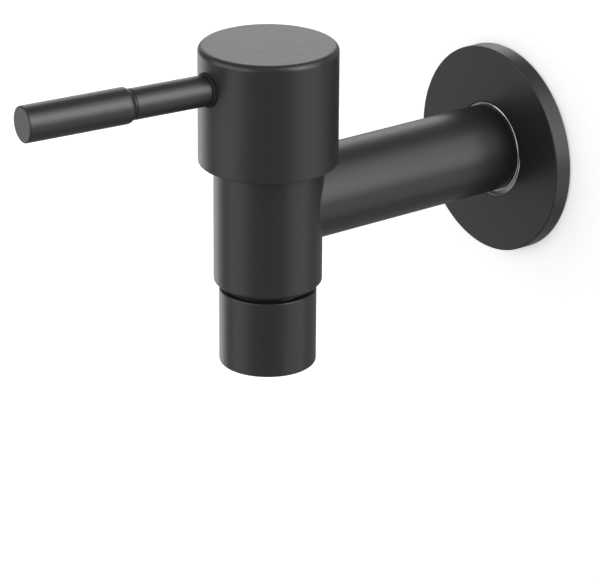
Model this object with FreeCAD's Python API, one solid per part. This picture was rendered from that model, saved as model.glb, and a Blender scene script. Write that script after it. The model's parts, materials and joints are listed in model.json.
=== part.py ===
import FreeCAD, Part
import math
import os

# Wall tap with a quarter-turn side lever, in millimetres.
# The origin is on the inlet's axis in the plane of the wall. +Z is up and +Y goes into the wall.
# The barrel stands upright in front of the wall, at y = -reach.

# Inlet side, from the wall to the barrel
reach = 83.5  # wall to the barrel's axis
pipe_radius = 12.5
pipe_wall = 2.0
weld_radius = 0.8  # fillet where the pipe meets the barrel
inlet_thread_radius = 10.4775  # G1/2, plain at its crests
inlet_thread_length = 14.0
inlet_thread_lead = 1.0  # chamfer at the thread's free end
nipple_bore_radius = 7.0
nipple_spigot_length = 10.0
nipple_relief_depth = 0.9
nipple_ring_step = 0.7  # how far the bare ring stands out of the pipe
nipple_ring_length = 3.3
nipple_ring_edge = 0.4

# Wall flange, a pressed cup that hangs loose on the nipple's ring
flange_radius = 30.0
flange_depth = 5.0
flange_sheet = 1.2
flange_edge = 0.4
flange_hole_play = 0.6
flange_seat_gap = 0.05
ring_setback = 0.1  # the bare ring lies this far behind the flange's face

# Barrel
barrel_over_pipe = 2.5  # barrel's radius minus the pipe's
chamber_radius = 10.0
port_radius = 8.0
port_to_thread = 0.5
seat_depth = 10.0  # seat below the pipe's axis
seat_hole_radius = 5.5
seat_web = 3.0
body_thread_length = 8.5
body_thread_run_out = 0.5  # bare end of the barrel's tapped bore
bush_socket_depth = 9.9
barrel_chamfer = 1.3
barrel_top_chamfer = 0.5

# Outlet bush and its seal
neck_radius = 12.0  # M24 x 1, plain at its crests
neck_length = 8.1
neck_shoulder = 1.5
neck_relief_length = 0.8
neck_relief_depth = 0.7
bush_bore_radius = 8.0
bush_end_gap = 0.3
bush_ring_radius = 0.75
bush_ring_offset = 4.0

# Outlet collar and the aerator in it
collar_gap = 1.2
collar_wall = 1.45
collar_edge = 0.4
collar_foot_edge = 0.6
aerator_washer_thickness = 2.0
aerator_washer_width = 3.0
cage_flange_thickness = 1.2
cage_step = 1.0
cage_depth = 9.8
cage_wall = 1.1
cage_lip_height = 0.5
cage_lip_width = 0.8
mouth_recess = 0.6
mouth_lip_height = 1.45
mouth_lip_width = 1.0
strainer_thickness = 0.4
strainer_setback = 0.4
flow_disc_thickness = 2.0
flow_disc_gap = 0.3
flow_hole_radius = 0.6
flow_outer_row_radius = 6.6
flow_outer_holes = 16
flow_inner_row_radius = 3.8
flow_inner_holes = 8
screen_thickness = 0.4
screen_spacing = 1.5
screen_cell = 1.3
screen_bar = 0.6
grid_thickness = 3.0
grid_cell = 2.0
grid_bar = 0.45
grid_rim = 0.9

# Cartridge housing
body_thread_radius = 10.4775  # G1/2
hex_across_flats = 22.0
hex_height = 5.0
hex_chamfer = 0.8
hex_chamfer_width = 1.6
bonnet_washer_thickness = 0.6
bonnet_washer_width = 2.4
gland_height = 4.8
gland_wall = 2.7
skirt_radius = 8.6
skirt_bore_radius = 7.3
skirt_lift = 0.6  # skirt's end above the seat
ceiling_drop = 0.6
window_bottom = -1.8
window_height = 8.0
window_width = 9.0
stop_width = 44.0  # degrees taken by each stop rib and each lug
stop_play = 1.0  # degrees left at each end of the handle's travel
stop_height = 3.5
stop_hub_radius = 5.7

# Discs and their seal
seal_thickness = 1.6
seal_width = 1.2
fixed_disc_thickness = 3.0
moving_disc_thickness = 2.8
disc_film = 0.02
disc_port_width = 76.0  # degrees
disc_port_inner = 2.4
disc_port_outer = 5.8
disc_lug_width = 2.4

# Stem
stem_radius = 4.5
stem_rod_radius = 3.0
stem_lug_height = 2.1
tang_width = 3.0
tang_reach = 6.0
tang_depth = 1.2
tang_height = 2.6
glide_thickness = 0.98
o_ring_radius = 0.72
o_ring_groove = 1.45
o_ring_steps = (3.5, 7.0)  # groove centres above the ceiling
o_ring_groove_width = 1.7
circlip_thickness = 0.9
circlip_width = 2.4
circlip_depth = 0.45
circlip_opening = 50.0
circlip_space = 1.5  # gland's end to the cap's inner ceiling
spline_tip_radius = 4.0
spline_root_radius = 3.55
spline_teeth = 20
spline_tip_share = 0.15  # half a tooth's tip, as a share of the tooth pitch
spline_root_share = 0.4  # half a tooth's foot, likewise
spline_length = 9.1

# Handle cap, its insert and screw
skirt_clearance = 0.4
cap_wall = 3.8
cap_above_pipe = 0.4
cap_top_wall = 5.9
cap_top_edge = 1.6
cap_foot_edge = 0.5
insert_wall = 2.2
insert_length = 11.3
insert_roof = 2.0
grub_radius = 2.5
grub_length = 8.0
grub_lead = 0.5
grub_rise = 5.0
grub_socket_across = 2.5
grub_socket_depth = 2.2

# Lever
handle_rest_turn = -6.0  # degrees back from fully open, about the barrel's axis
lever_rise = 7.5  # lever's axis above the cap's inner ceiling
lever_tip = 74.2  # from the barrel's axis
grip_radius = 5.0
grip_length = 29.8
grip_round_length = 1.9
grip_edge = 0.35
groove_radius = 4.05
groove_length = 0.35
rod_radius = 4.28
rod_edge = 0.2
lever_ring_wall = 0.57
lever_ring_proud = 0.8
lever_socket_depth = 1.8
stud_radius = 3.0
stud_length = 8.2
stud_lead = 0.5
stud_end_gap = 1.0

# Clearances between pieces that seat in each other
fit_gap = 0.03
thread_gap = 0.05
pivot_gap = 0.05
turning_gap = 0.3
past = 1.0  # how far a cutter runs past what it cuts

# Levels on the barrel's axis, above and below the pipe's axis
barrel_radius = pipe_radius + barrel_over_pipe
seat_level = -seat_depth
web_bottom = seat_level - seat_web
barrel_bottom = web_bottom - bush_socket_depth
body_thread_bottom = port_radius + port_to_thread
barrel_top = body_thread_bottom + body_thread_length
hex_bottom = barrel_top + bonnet_washer_thickness
hex_top = hex_bottom + hex_height
gland_top = hex_top + gland_height
housing_ceiling = hex_bottom - ceiling_drop
stem_lug_top = housing_ceiling - disc_film - glide_thickness
stem_lug_bottom = stem_lug_top - stem_lug_height
cap_ceiling = gland_top + circlip_space
insert_top = cap_ceiling + insert_length
cap_top = insert_top + cap_top_wall
cap_bottom = pipe_radius + cap_above_pipe
lever_level = cap_ceiling + lever_rise
grub_level = cap_ceiling + grub_rise
spline_bottom = cap_ceiling
fixed_disc_bottom = seat_level + seal_thickness
moving_disc_bottom = fixed_disc_bottom + fixed_disc_thickness + disc_film
moving_disc_top = moving_disc_bottom + moving_disc_thickness
neck_bottom = barrel_bottom - neck_length
collar_top = barrel_bottom - collar_gap
washer_bottom = neck_bottom - aerator_washer_thickness
cage_shelf = washer_bottom - cage_flange_thickness
cage_bottom = cage_shelf - cage_depth
mouth_top = cage_bottom - mouth_recess
collar_bottom = mouth_top - mouth_lip_height

# Radii that follow from their neighbours
cap_bore_radius = barrel_radius + skirt_clearance
cap_radius = cap_bore_radius + cap_wall
body_bore_radius = body_thread_radius + thread_gap
bush_spigot_radius = neck_radius - neck_shoulder
bush_socket_radius = bush_spigot_radius + fit_gap
collar_bore_radius = neck_radius + thread_gap
collar_radius = collar_bore_radius + collar_wall
cage_flange_radius = collar_bore_radius - fit_gap
cage_radius = collar_bore_radius - cage_step - fit_gap
cage_bore_radius = cage_radius - cage_wall
aerator_disc_radius = cage_bore_radius - fit_gap
gland_bore_radius = stem_radius + pivot_gap
moving_disc_radius = skirt_bore_radius - turning_gap
fixed_disc_radius = skirt_bore_radius - fit_gap
insert_radius = spline_tip_radius + insert_wall
ring_radius = pipe_radius + nipple_ring_step
flange_hole_radius = ring_radius + flange_hole_play
flange_drop = flange_hole_play - flange_seat_gap
ring_face = -flange_depth + ring_setback
lever_ring_radius = rod_radius + lever_ring_wall
lever_socket_floor = cap_radius - lever_socket_depth
grip_start = lever_tip - grip_length
grip_groove = grip_start - grip_round_length

origin = FreeCAD.Vector(0, 0, 0)
along_x = FreeCAD.Vector(1, 0, 0)
along_y = FreeCAD.Vector(0, 1, 0)
along_z = FreeCAD.Vector(0, 0, 1)
barrel_foot = FreeCAD.Vector(0, -reach, 0)


def outline_point(radius, height):
    """A point of a turned outline, in the XZ plane."""
    return FreeCAD.Vector(radius, 0, height)


def turned(steps):
    """Turn a closed outline about Z. A step is a point, or an arc's middle point and its end."""
    edges = []
    here = outline_point(*steps[0])
    first = here
    for step in steps[1:]:
        if isinstance(step[0], tuple):
            middle = outline_point(*step[0])
            there = outline_point(*step[1])
            edges.append(Part.Arc(here, middle, there).toShape())
        else:
            there = outline_point(*step)
            edges.append(Part.LineSegment(here, there).toShape())
        here = there
    edges.append(Part.LineSegment(here, first).toShape())
    face = Part.Face(Part.Wire(edges))
    return face.revolve(origin, along_z, 360)


def disc(radius, bottom, top):
    """A round plug on the Z axis."""
    return Part.makeCylinder(radius, top - bottom, FreeCAD.Vector(0, 0, bottom), along_z)


def ring(outer, inner, bottom, top):
    """A plain ring on the Z axis."""
    return disc(outer, bottom, top).cut(disc(inner, bottom, top))


def sector(outer, inner, bottom, top, middle, width):
    """A piece of a ring that spans width degrees about the direction middle."""
    piece = Part.makeCylinder(outer, top - bottom, FreeCAD.Vector(0, 0, bottom), along_z, width)
    piece.rotate(origin, along_z, middle - width / 2)
    return piece.cut(disc(inner, bottom - past, top + past))


def rounded_corner(radius, height, edge, inward, upward):
    """Steps that round an outside corner of a turned outline, from its flat end to its wall."""
    dip = edge * (1 - math.sqrt(0.5))
    start = (radius - inward * edge, height)
    middle = (radius - inward * dip, height - upward * dip)
    end = (radius, height - upward * edge)
    return [start, (middle, end)]


def polygon_prism(points, bottom, top):
    """A straight prism over a closed polygon given as (x, y) points."""
    corners = [FreeCAD.Vector(x, y, bottom) for x, y in points]
    corners.append(corners[0])
    face = Part.Face(Part.makePolygon(corners))
    return face.extrude(FreeCAD.Vector(0, 0, top - bottom))


def regular_points(count, radius, first_angle, centre=(0.0, 0.0)):
    """Corners of a regular polygon."""
    turns = [math.radians(first_angle + 360.0 * i / count) for i in range(count)]
    return [(centre[0] + radius * math.cos(t), centre[1] + radius * math.sin(t)) for t in turns]


def hexagon(across, bottom, top):
    """A hexagonal prism of the given size across its flats."""
    return polygon_prism(regular_points(6, across / math.sqrt(3), 30), bottom, top)


def spline_prism(grow, bottom, top):
    """The toothed section of the stem, grown sideways by a clearance."""
    pitch = 360.0 / spline_teeth
    points = []
    for tooth in range(spline_teeth):
        for share, radius in (
            (-spline_root_share, spline_root_radius),
            (-spline_tip_share, spline_tip_radius),
            (spline_tip_share, spline_tip_radius),
            (spline_root_share, spline_root_radius),
        ):
            angle = math.radians(pitch * (tooth + share))
            points.append(((radius + grow) * math.cos(angle), (radius + grow) * math.sin(angle)))
    return polygon_prism(points, bottom, top)


def hex_cell_centres(pitch, limit):
    """Centres of a honeycomb that lie inside the radius limit."""
    centres = []
    rows = int(limit / (pitch * math.sqrt(3) / 2)) + 1
    columns = int(limit / pitch) + 1
    for row in range(-rows, rows + 1):
        for column in range(-columns, columns + 1):
            x = pitch * (column + 0.5 * (row % 2))
            y = pitch * row * math.sqrt(3) / 2
            if math.hypot(x, y) <= limit:
                centres.append((x, y))
    return centres


def perforated(plate, cell, bar, rim, bottom, top):
    """Cut hexagonal cells through a plate, leaving a plain rim."""
    corner = cell / math.sqrt(3)
    centres = hex_cell_centres(cell + bar, aerator_disc_radius - rim - corner)
    low = bottom - past
    high = top + past
    cells = [polygon_prism(regular_points(6, corner, 30, c), low, high) for c in centres]
    return plate.cut(Part.makeCompound(cells))


def on_wall_axis(shape):
    """Lay a piece turned about Z along +Y, the inlet's axis."""
    shape.rotate(origin, along_x, -90)
    return shape


def on_barrel(shape):
    """Move a piece from the Z axis to the barrel's axis."""
    shape.translate(barrel_foot)
    return shape


def on_handle(shape):
    """Turn a piece built with the handle fully open to its rest, on the barrel's axis."""
    shape.rotate(origin, along_z, handle_rest_turn)
    return on_barrel(shape)


def inlet_nipple():
    """Bare threaded end with the ring that the flange hangs on."""
    spigot_radius = pipe_radius - pipe_wall - fit_gap
    spigot_end = ring_face - nipple_spigot_length
    ring_back = ring_face + nipple_ring_length
    relief_radius = inlet_thread_radius - nipple_relief_depth
    lead_radius = inlet_thread_radius - inlet_thread_lead
    thread_end = inlet_thread_length + inlet_thread_lead
    edge = nipple_ring_edge
    outline = [(nipple_bore_radius, spigot_end), (spigot_radius, spigot_end), (spigot_radius, ring_face)]
    outline += rounded_corner(ring_radius, ring_face, edge, 1, -1)
    outline += [(ring_radius, ring_back), (relief_radius, ring_back), (relief_radius, 0.0)]
    outline += [(inlet_thread_radius, 0.0), (inlet_thread_radius, inlet_thread_length)]
    outline += [(lead_radius, thread_end), (nipple_bore_radius, thread_end)]
    return on_wall_axis(turned(outline))


def inlet_pipe():
    """Plain tube, coped to the barrel with a small weld fillet."""
    outside = Part.makeCylinder(pipe_radius, reach + ring_face, barrel_foot, along_y)
    post_half = 2 * pipe_radius
    post = Part.makeCylinder(barrel_radius, 2 * post_half, barrel_foot - along_z * post_half, along_z)
    joined = outside.fuse(post)
    seam = []
    for edge in joined.Edges:
        box = edge.BoundBox
        beside_post = box.YMin > -reach and box.YMax < -reach + barrel_radius + weld_radius
        if beside_post and box.XLength > pipe_radius:
            seam.append(edge)
    joined = joined.makeFillet(weld_radius, seam)
    coped = joined.cut(post)
    inside = Part.makeCylinder(pipe_radius - pipe_wall, reach, barrel_foot, along_y)
    return coped.cut(inside)


def wall_flange():
    """Pressed round cover plate with a rim that meets the wall."""
    edge = flange_edge
    inner_radius = flange_radius - flange_sheet
    inner_face = -flange_depth + flange_sheet
    outline = [(flange_hole_radius, inner_face), (flange_hole_radius, -flange_depth)]
    outline += rounded_corner(flange_radius, -flange_depth, edge, 1, -1)
    outline += [(flange_radius, 0.0), (inner_radius, 0.0), (inner_radius, inner_face)]
    cup = on_wall_axis(turned(outline))
    cup.translate(FreeCAD.Vector(0, 0, -flange_drop))
    return cup


def barrel():
    """Upright body with the cartridge thread above, the seat web and the bush socket below."""
    chamfered = barrel_radius - barrel_chamfer
    top_chamfered = barrel_radius - barrel_top_chamfer
    outline = [
        (seat_hole_radius, web_bottom),
        (bush_socket_radius, web_bottom),
        (bush_socket_radius, barrel_bottom),
        (chamfered, barrel_bottom),
        (barrel_radius, barrel_bottom + barrel_chamfer),
        (barrel_radius, barrel_top - barrel_top_chamfer),
        (top_chamfered, barrel_top),
        (body_bore_radius, barrel_top),
        (body_bore_radius, body_thread_bottom),
        (chamber_radius, body_thread_bottom),
        (chamber_radius, seat_level),
        (seat_hole_radius, seat_level),
    ]
    port = Part.makeCylinder(port_radius, 2 * barrel_radius, origin, along_y)
    return on_barrel(turned(outline).cut(port))


def outlet_bush():
    """Threaded neck that the outlet collar screws onto, seated in the barrel's foot."""
    spigot_top = web_bottom - bush_end_gap
    groove_middle = barrel_bottom + bush_ring_offset
    relief_radius = neck_radius - neck_relief_depth
    relief_bottom = barrel_bottom - neck_relief_length
    outline = [
        (bush_bore_radius, neck_bottom),
        (neck_radius, neck_bottom),
        (neck_radius, relief_bottom),
        (relief_radius, relief_bottom),
        (relief_radius, barrel_bottom),
        (bush_spigot_radius, barrel_bottom),
        (bush_spigot_radius, spigot_top),
        (bush_bore_radius, spigot_top),
    ]
    groove_floor = bush_spigot_radius - 2 * bush_ring_radius + fit_gap
    half = bush_ring_radius + fit_gap
    groove = ring(bush_spigot_radius + past, groove_floor, groove_middle - half, groove_middle + half)
    return on_barrel(turned(outline).cut(groove))


def bush_seal():
    """Rubber ring in the bush's groove."""
    middle = FreeCAD.Vector(0, 0, barrel_bottom + bush_ring_offset)
    centre_radius = bush_spigot_radius - bush_ring_radius + fit_gap
    return on_barrel(Part.makeTorus(centre_radius, bush_ring_radius - fit_gap, middle, along_z))


def cartridge_housing():
    """Brass housing: hexagon, body thread, gland and the skirt round the discs."""
    gland_radius = gland_bore_radius + gland_wall
    skirt_bottom = seat_level + skirt_lift
    head = hexagon(hex_across_flats, hex_bottom, hex_top)
    corner_radius = hex_across_flats / math.sqrt(3)
    bevel = [
        (0.0, hex_bottom),
        (corner_radius, hex_bottom),
        (corner_radius, hex_top - hex_chamfer),
        (corner_radius - hex_chamfer_width, hex_top),
        (0.0, hex_top),
    ]
    head = head.common(turned(bevel))
    body = turned([
        (0.0, skirt_bottom),
        (skirt_radius, skirt_bottom),
        (skirt_radius, body_thread_bottom + body_thread_run_out),
        (body_thread_radius, body_thread_bottom + body_thread_run_out),
        (body_thread_radius, hex_bottom),
        (gland_radius, hex_bottom),
        (gland_radius, gland_top),
        (0.0, gland_top),
    ])
    body = body.fuse(head)
    body = body.cut(disc(gland_bore_radius, skirt_bottom - past, gland_top + past))
    body = body.cut(disc(skirt_bore_radius, skirt_bottom - past, housing_ceiling))
    window = Part.makeBox(
        window_width,
        4 * skirt_radius,
        window_height,
        FreeCAD.Vector(-window_width / 2, -2 * skirt_radius, window_bottom),
    )
    body = body.cut(window)
    rib_bottom = housing_ceiling - stop_height
    rib_inner = stop_hub_radius + turning_gap
    for middle in (0, 180):
        rib = sector(skirt_bore_radius + fit_gap, rib_inner, rib_bottom, housing_ceiling, middle, stop_width)
        body = body.fuse(rib)
    for side in (-1, 1):
        slot = Part.makeBox(
            2 * skirt_radius,
            disc_lug_width + 2 * fit_gap,
            fixed_disc_bottom + fixed_disc_thickness - skirt_bottom,
            FreeCAD.Vector(
                side * skirt_radius - skirt_radius,
                -disc_lug_width / 2 - fit_gap,
                skirt_bottom,
            ),
        )
        body = body.cut(slot)
    return on_barrel(body.removeSplitter())


def bonnet_washer():
    """Fibre washer between the hexagon and the barrel's top."""
    inner = body_thread_radius + fit_gap
    return on_barrel(ring(inner + bonnet_washer_width, inner, barrel_top, hex_bottom))


def disc_ports(bottom, top):
    """The pair of openings through a disc, with the handle fully open."""
    low = bottom - past
    high = top + past
    return [
        sector(disc_port_outer, disc_port_inner, low, high, middle, disc_port_width)
        for middle in (90, 270)
    ]


def fixed_disc():
    """Lower ceramic disc, keyed into the skirt by two lugs."""
    top = fixed_disc_bottom + fixed_disc_thickness
    plate = disc(fixed_disc_radius, fixed_disc_bottom, top)
    lugs = Part.makeBox(
        2 * skirt_radius,
        disc_lug_width,
        fixed_disc_thickness,
        FreeCAD.Vector(-skirt_radius, -disc_lug_width / 2, fixed_disc_bottom),
    )
    plate = plate.fuse(lugs.common(disc(skirt_radius, fixed_disc_bottom, top)))
    for port in disc_ports(fixed_disc_bottom, top):
        plate = plate.cut(port)
    return on_barrel(plate)


def disc_seal():
    """Rubber ring between the fixed disc and the seat."""
    outer = fixed_disc_radius
    return on_barrel(ring(outer, outer - seal_width, seat_level, fixed_disc_bottom))


def moving_disc():
    """Upper ceramic disc, turned by the stem's tang."""
    plate = disc(moving_disc_radius, moving_disc_bottom, moving_disc_top)
    for port in disc_ports(moving_disc_bottom, moving_disc_top):
        plate = plate.cut(port)
    slot = Part.makeBox(
        2 * tang_reach + 2 * fit_gap,
        tang_width + 2 * fit_gap,
        2 * tang_depth,
        FreeCAD.Vector(-tang_reach - fit_gap, -tang_width / 2 - fit_gap, moving_disc_top - tang_depth),
    )
    return on_handle(plate.cut(slot))


def cartridge_stem():
    """Stem with its tang, stop lugs, seal grooves, circlip groove and spline."""
    tang_bottom = moving_disc_top - tang_depth + fit_gap
    tang_top = tang_bottom + tang_height
    circlip_bottom = gland_top + pivot_gap
    shoulder_top = circlip_bottom - fit_gap
    outline = [
        (0.0, tang_bottom),
        (stem_rod_radius, tang_bottom),
        (stem_rod_radius, stem_lug_bottom),
        (stop_hub_radius, stem_lug_bottom),
        (stop_hub_radius, stem_lug_top),
        (stem_radius, stem_lug_top),
        (stem_radius, shoulder_top),
        (spline_tip_radius, shoulder_top),
        (spline_tip_radius, spline_bottom),
        (0.0, spline_bottom),
    ]
    stem = turned(outline)
    trimmed = Part.makeBox(
        2 * stem_rod_radius,
        2 * stem_rod_radius,
        tang_top - tang_bottom,
        FreeCAD.Vector(-stem_rod_radius, tang_width / 2, tang_bottom),
    )
    stem = stem.cut(trimmed)
    trimmed.translate(FreeCAD.Vector(0, -tang_width - 2 * stem_rod_radius, 0))
    stem = stem.cut(trimmed)
    tang = Part.makeBox(
        2 * tang_reach,
        tang_width,
        tang_top - tang_bottom,
        FreeCAD.Vector(-tang_reach, -tang_width / 2, tang_bottom),
    )
    stem = stem.fuse(tang.common(disc(tang_reach, tang_bottom, tang_top)))
    lug_radius = skirt_bore_radius - turning_gap
    lug_middle = 180 - stop_width - stop_play
    for middle in (lug_middle, lug_middle + 180):
        lug = sector(lug_radius, stop_hub_radius - past, stem_lug_bottom, stem_lug_top, middle, stop_width)
        stem = stem.fuse(lug)
    floor = stem_radius - o_ring_groove
    for step in o_ring_steps:
        low = housing_ceiling + step - o_ring_groove_width / 2
        stem = stem.cut(ring(stem_radius + past, floor, low, low + o_ring_groove_width))
    clip_floor = spline_tip_radius - circlip_depth
    clip_low = circlip_bottom - fit_gap
    clip_high = circlip_bottom + circlip_thickness + fit_gap
    stem = stem.cut(ring(stem_radius + past, clip_floor, clip_low, clip_high))
    stem = stem.fuse(spline_prism(0.0, spline_bottom, spline_bottom + spline_length))
    return on_handle(stem.removeSplitter())


def stem_o_rings():
    """The two rubber rings in the stem's grooves."""
    centre_radius = stem_radius - o_ring_groove + fit_gap + o_ring_radius
    rings = []
    for step in o_ring_steps:
        middle = FreeCAD.Vector(0, 0, housing_ceiling + step)
        rings.append(Part.makeTorus(centre_radius, o_ring_radius, middle, along_z))
    return on_handle(Part.makeCompound(rings))


def glide_ring():
    """Plastic thrust ring between the stem's hub and the housing's ceiling."""
    inner = stem_radius + fit_gap
    return on_handle(ring(stop_hub_radius, inner, stem_lug_top, stem_lug_top + glide_thickness))


def stem_circlip():
    """Open spring ring that keeps the stem in its gland."""
    bottom = gland_top + pivot_gap
    top = bottom + circlip_thickness
    inner = spline_tip_radius - circlip_depth + fit_gap
    outer = inner + circlip_width
    opening = sector(outer + past, inner - past, bottom - past, top + past, 90, circlip_opening)
    return on_handle(ring(outer, inner, bottom, top).cut(opening))


def spline_insert():
    """Brass bush with the toothed socket, held in the cap."""
    bush = disc(insert_radius, cap_ceiling, insert_top)
    bush = bush.cut(spline_prism(fit_gap, cap_ceiling - past, insert_top - insert_roof))
    hole = Part.makeCylinder(
        grub_radius + thread_gap, 2 * insert_radius, FreeCAD.Vector(0, 0, grub_level), along_y
    )
    return on_handle(bush.cut(hole))


def handle_cap():
    """Outer cap over the cartridge, with the lever's socket in front and the screw's hole behind."""
    outline = [(cap_bore_radius, cap_bottom)]
    outline += rounded_corner(cap_radius, cap_bottom, cap_foot_edge, 1, -1)
    upper = rounded_corner(cap_radius, cap_top, cap_top_edge, 1, 1)
    outline += [upper[1][1], (upper[1][0], upper[0])]
    outline += [(0.0, cap_top), (0.0, insert_top), (insert_radius + fit_gap, insert_top)]
    outline += [(insert_radius + fit_gap, cap_ceiling), (cap_bore_radius, cap_ceiling)]
    cap = turned(outline)
    front = FreeCAD.Vector(0, -1, 0)
    socket = Part.makeCylinder(
        lever_ring_radius + fit_gap,
        cap_radius,
        FreeCAD.Vector(0, -lever_socket_floor, lever_level),
        front,
    )
    stud_hole_depth = stud_length + stud_end_gap
    stud_hole = Part.makeCylinder(
        stud_radius + thread_gap,
        stud_hole_depth,
        FreeCAD.Vector(0, -lever_socket_floor + stud_hole_depth, lever_level),
        front,
    )
    screw_hole = Part.makeCylinder(
        grub_radius + thread_gap, 2 * cap_radius, FreeCAD.Vector(0, 0, grub_level), along_y
    )
    cap = cap.cut(socket).cut(stud_hole).cut(screw_hole)
    return on_handle(cap)


def grub_screw():
    """Socket set screw that presses on the stem from behind."""
    tip = spline_tip_radius + fit_gap
    end = tip + grub_length
    screw = turned([
        (0.0, tip),
        (grub_radius - grub_lead, tip),
        (grub_radius, tip + grub_lead),
        (grub_radius, end - grub_lead),
        (grub_radius - grub_lead, end),
        (0.0, end),
    ])
    screw = screw.cut(hexagon(grub_socket_across, end - grub_socket_depth, end + past))
    screw = on_wall_axis(screw)
    screw.translate(FreeCAD.Vector(0, 0, grub_level))
    return on_handle(screw)


def lever():
    """Turned lever: grip, rounded neck, slimmer rod and the threaded stud in the cap."""
    stud_end = lever_socket_floor - stud_length
    stud_bevel = stud_radius - stud_lead
    rise = grip_radius - groove_radius
    arc_radius = (rise ** 2 + grip_round_length ** 2) / (2 * rise)
    half_turn = 0.5 * math.asin(grip_round_length / arc_radius)
    arc_middle = (
        grip_radius - arc_radius * (1 - math.cos(half_turn)),
        grip_start - arc_radius * math.sin(half_turn),
    )
    outline = [
        (0.0, stud_end),
        (stud_bevel, stud_end),
        (stud_radius, stud_end + stud_lead),
        (stud_radius, lever_socket_floor),
        (rod_radius, lever_socket_floor),
        (rod_radius, grip_groove - groove_length - rod_edge),
        (rod_radius - rod_edge, grip_groove - groove_length),
        (groove_radius, grip_groove - groove_length),
        (groove_radius, grip_groove),
        (arc_middle, (grip_radius, grip_start)),
        (grip_radius, lever_tip - grip_edge),
        (grip_radius - grip_edge, lever_tip),
        (0.0, lever_tip),
    ]
    piece = turned(outline)
    piece.rotate(origin, along_x, 90)
    piece.translate(FreeCAD.Vector(0, 0, lever_level))
    return on_handle(piece)


def lever_ring():
    """Black rubber ring round the lever's root, standing a little out of the cap."""
    tube = ring(
        lever_ring_radius, rod_radius + fit_gap, lever_socket_floor, cap_radius + lever_ring_proud
    )
    tube.rotate(origin, along_x, 90)
    tube.translate(FreeCAD.Vector(0, 0, lever_level))
    return on_handle(tube)


def outlet_collar():
    """Screwed sleeve that carries the aerator, with the outlet's mouth at its foot."""
    mouth_radius = collar_bore_radius - cage_step - mouth_lip_width
    shelf_radius = collar_bore_radius - cage_step
    outline = [(collar_bore_radius, collar_top)]
    outline += rounded_corner(collar_radius, collar_top, collar_edge, 1, 1)
    foot = rounded_corner(collar_radius, collar_bottom, collar_foot_edge, 1, -1)
    outline += [foot[1][1], (foot[1][0], foot[0])]
    outline += [
        (mouth_radius, collar_bottom),
        (mouth_radius, mouth_top),
        (shelf_radius, mouth_top),
        (shelf_radius, cage_shelf),
        (collar_bore_radius, cage_shelf),
    ]
    return on_barrel(turned(outline))


def aerator_washer():
    """Rubber washer between the bush's end and the aerator."""
    outer = cage_flange_radius
    return on_barrel(ring(outer, outer - aerator_washer_width, washer_bottom, neck_bottom))


def aerator_cage():
    """Plastic cup that holds the aerator's screens."""
    lip_radius = cage_bore_radius - cage_lip_width
    outline = [
        (cage_bore_radius, washer_bottom),
        (cage_flange_radius, washer_bottom),
        (cage_flange_radius, cage_shelf),
        (cage_radius, cage_shelf),
        (cage_radius, cage_bottom),
        (lip_radius, cage_bottom),
        (lip_radius, cage_bottom + cage_lip_height),
        (cage_bore_radius, cage_bottom + cage_lip_height),
    ]
    return on_barrel(turned(outline))


def inlet_strainer():
    """Fine perforated disc at the aerator's inlet."""
    top = washer_bottom - strainer_setback
    bottom = top - strainer_thickness
    plate = disc(aerator_disc_radius, bottom, top)
    return on_barrel(perforated(plate, screen_cell, screen_bar, grid_rim, bottom, top))


def flow_disc():
    """Disc whose ring of fine holes splits the water into jets."""
    top = washer_bottom - strainer_setback - strainer_thickness - flow_disc_gap
    bottom = top - flow_disc_thickness
    plate = disc(aerator_disc_radius, bottom, top)
    holes = []
    rows = ((flow_outer_holes, flow_outer_row_radius), (flow_inner_holes, flow_inner_row_radius))
    for count, row_radius in rows:
        for x, y in regular_points(count, row_radius, 0):
            start = FreeCAD.Vector(x, y, bottom - past)
            length = flow_disc_thickness + 2 * past
            holes.append(Part.makeCylinder(flow_hole_radius, length, start, along_z))
    return on_barrel(plate.cut(Part.makeCompound(holes)))


def mesh_screens():
    """The two screens that break up the jets, above the outlet grid."""
    screens = []
    for place in (1, 2):
        bottom = cage_bottom + cage_lip_height + grid_thickness + (place - 0.5) * screen_spacing
        top = bottom + screen_thickness
        plate = disc(aerator_disc_radius, bottom, top)
        screens.append(perforated(plate, screen_cell, screen_bar, grid_rim, bottom, top))
    return on_barrel(Part.makeCompound(screens))


def outlet_grid():
    """Honeycomb that the water leaves through."""
    bottom = cage_bottom + cage_lip_height
    top = bottom + grid_thickness
    plate = disc(aerator_disc_radius, bottom, top)
    return on_barrel(perforated(plate, grid_cell, grid_bar, grid_rim, bottom, top))


pieces = {
    "barrel": barrel,
    "inlet_pipe": inlet_pipe,
    "inlet_nipple": inlet_nipple,
    "wall_flange": wall_flange,
    "outlet_bush": outlet_bush,
    "bush_seal": bush_seal,
    "cartridge_housing": cartridge_housing,
    "bonnet_washer": bonnet_washer,
    "fixed_disc": fixed_disc,
    "disc_seal": disc_seal,
    "moving_disc": moving_disc,
    "cartridge_stem": cartridge_stem,
    "stem_o_rings": stem_o_rings,
    "glide_ring": glide_ring,
    "stem_circlip": stem_circlip,
    "spline_insert": spline_insert,
    "handle_cap": handle_cap,
    "grub_screw": grub_screw,
    "lever": lever,
    "lever_ring": lever_ring,
    "outlet_collar": outlet_collar,
    "aerator_washer": aerator_washer,
    "aerator_cage": aerator_cage,
    "inlet_strainer": inlet_strainer,
    "flow_disc": flow_disc,
    "mesh_screens": mesh_screens,
    "outlet_grid": outlet_grid,
}

os.makedirs("parts", exist_ok=True)
for name, make in pieces.items():
    shape = make()
    shape.exportStep("parts/" + name + ".step")
    print(name, "solids", len(shape.Solids), "volume", round(shape.Volume, 1), "valid", shape.isValid())
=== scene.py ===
import bpy
import bmesh
import json
import math
from mathutils import Matrix, Vector


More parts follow.
